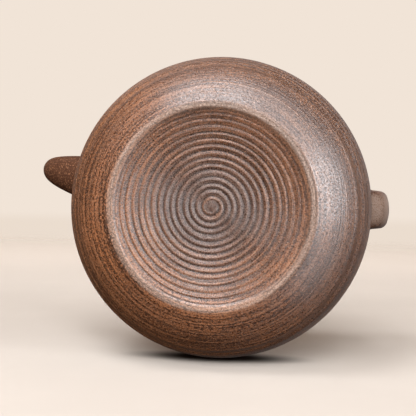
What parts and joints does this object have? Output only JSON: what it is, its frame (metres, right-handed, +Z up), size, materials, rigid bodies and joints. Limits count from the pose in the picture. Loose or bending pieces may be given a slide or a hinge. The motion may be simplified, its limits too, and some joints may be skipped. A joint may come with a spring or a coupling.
{
  "type": "ceramic teapot",
  "caption": "Squat wheel-thrown stoneware teapot with a curved spout, a strap handle, a hinged domed lid and a recessed, spirally grooved foot.",
  "frame": {"origin": "middle of the footprint box, on the surface that the foot ring stands on", "axes": "+Z up, +X towards the handle; the spout points to -X, turned 11.5 degrees towards -Y; the pot's own axis is 11.5 mm along +X from the origin"},
  "size_m": [0.1888, 0.14, 0.1118],
  "materials": {
    "stoneware": "unglazed, satin, speckled",
    "bare_clay": "unglazed, matte",
    "brass": "aged, satin"
  },
  "bodies": {
    "pot": {"pot_body": "stoneware", "spout": "stoneware", "strainer_dome": "bare_clay", "handle": "stoneware", "hinge_ear_left": "stoneware", "hinge_ear_right": "stoneware", "hinge_pin": "brass", "pin_cap": "brass"},
    "lid_assembly": {"lid": "stoneware", "lid_flange": "bare_clay", "lid_tongue": "stoneware", "lid_knob": "stoneware"}
  },
  "joints": [
    {"name": "lid_hinge", "type": "hinge", "parent": "pot", "child": "lid_assembly", "pos_m": [0.05246, 0, 0.089], "axis": [0, 1, 0], "range_deg": [0, 130]}
  ]
}
